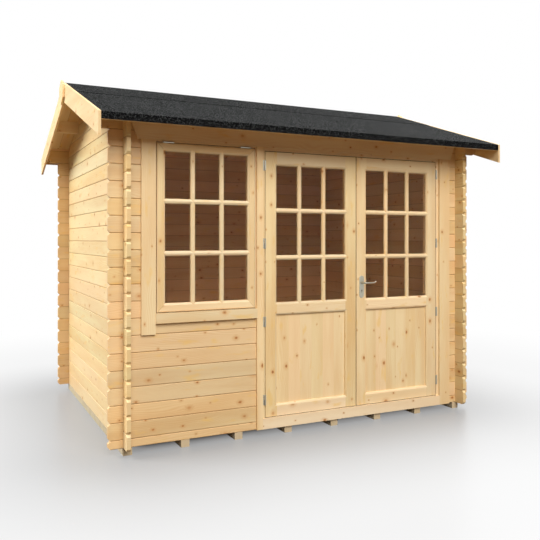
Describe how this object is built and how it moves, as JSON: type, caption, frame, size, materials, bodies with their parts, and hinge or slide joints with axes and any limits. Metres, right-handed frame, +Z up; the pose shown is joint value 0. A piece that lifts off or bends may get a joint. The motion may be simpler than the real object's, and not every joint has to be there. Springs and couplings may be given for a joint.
{
  "type": "log cabin",
  "caption": "Small garden cabin of interlocking logs with double glazed doors, a side window and a felted apex roof on bearers.",
  "frame": {"origin": "on the ground under the middle of the plan, at the underside of the bearers", "axes": "+X along the front from the window end to the handle end, +Y from the front with the doors to the back, +Z up"},
  "size_m": [3.316, 2.78, 2.7],
  "materials": {
    "log_pine": "satin",
    "joinery_pine": "satin",
    "barge_pine": "satin",
    "floor_pine": "satin",
    "treated_timber": "matte",
    "mineral_felt": "matte",
    "window_glass": "gloss",
    "satin_steel": "satin"
  },
  "bodies": {
    "cabin": {"apex_plates": "barge_pine", "back_wall_logs_1": "log_pine", "back_wall_logs_2": "log_pine", "barge_boards_front": "barge_pine", "barge_boards_rear": "barge_pine", "door_frame_head": "joinery_pine", "door_frame_posts": "joinery_pine", "door_hinge_frame_halves": "satin_steel", "door_sill": "joinery_pine", "eave_fascias": "barge_pine", "eave_logs": "log_pine", "floor_bearers": "treated_timber", "floor_boards": "floor_pine", "front_casings": "joinery_pine", "front_wall_left_of_window_logs_1": "log_pine", "front_wall_left_of_window_logs_2": "log_pine", "front_wall_right_of_door_logs_1": "log_pine", "front_wall_right_of_door_logs_2": "log_pine", "front_wall_under_window_logs_1": "log_pine", "front_wall_under_window_logs_2": "log_pine", "header_board": "joinery_pine", "left_wall_logs_1": "log_pine", "left_wall_logs_2": "log_pine", "right_wall_logs_1": "log_pine", "right_wall_logs_2": "log_pine", "roof_boards_front": "barge_pine", "roof_boards_rear": "barge_pine", "roof_felt_ridge": "mineral_felt", "roof_felt_slopes": "mineral_felt", "roof_purlins": "log_pine", "window_bars": "joinery_pine", "window_frame": "joinery_pine", "window_glass": "window_glass", "window_hinges": "satin_steel", "window_sash": "joinery_pine", "window_sill_board": "joinery_pine"},
    "left_door": {"left_door_bars": "joinery_pine", "left_door_glass": "window_glass", "left_door_hinges": "satin_steel", "left_door_panel": "joinery_pine", "left_door_rails": "joinery_pine", "left_door_stiles": "joinery_pine"},
    "right_door": {"right_door_bars": "joinery_pine", "right_door_glass": "window_glass", "right_door_hinges": "satin_steel", "right_door_panel": "joinery_pine", "right_door_rails": "joinery_pine", "right_door_stiles": "joinery_pine", "handle_backplates": "satin_steel"},
    "door_lever": {"lever_handle": "satin_steel"}
  },
  "joints": [
    {"name": "left_door_hinge", "type": "hinge", "parent": "cabin", "child": "left_door", "pos_m": [-0.3885, -1.126, 1.1], "axis": [0, 0, -1], "range_deg": [0, 140]},
    {"name": "right_door_hinge", "type": "hinge", "parent": "cabin", "child": "right_door", "pos_m": [1.1875, -1.126, 1.1], "axis": [0, 0, 1], "range_deg": [0, 140]},
    {"name": "lever_turn", "type": "hinge", "parent": "right_door", "child": "door_lever", "pos_m": [0.45075, -1.12, 1.093], "axis": [0, 1, 0], "range_deg": [0, 45], "stiffness_Nm_per_rad": 1, "springref_deg": -34.38}
  ]
}
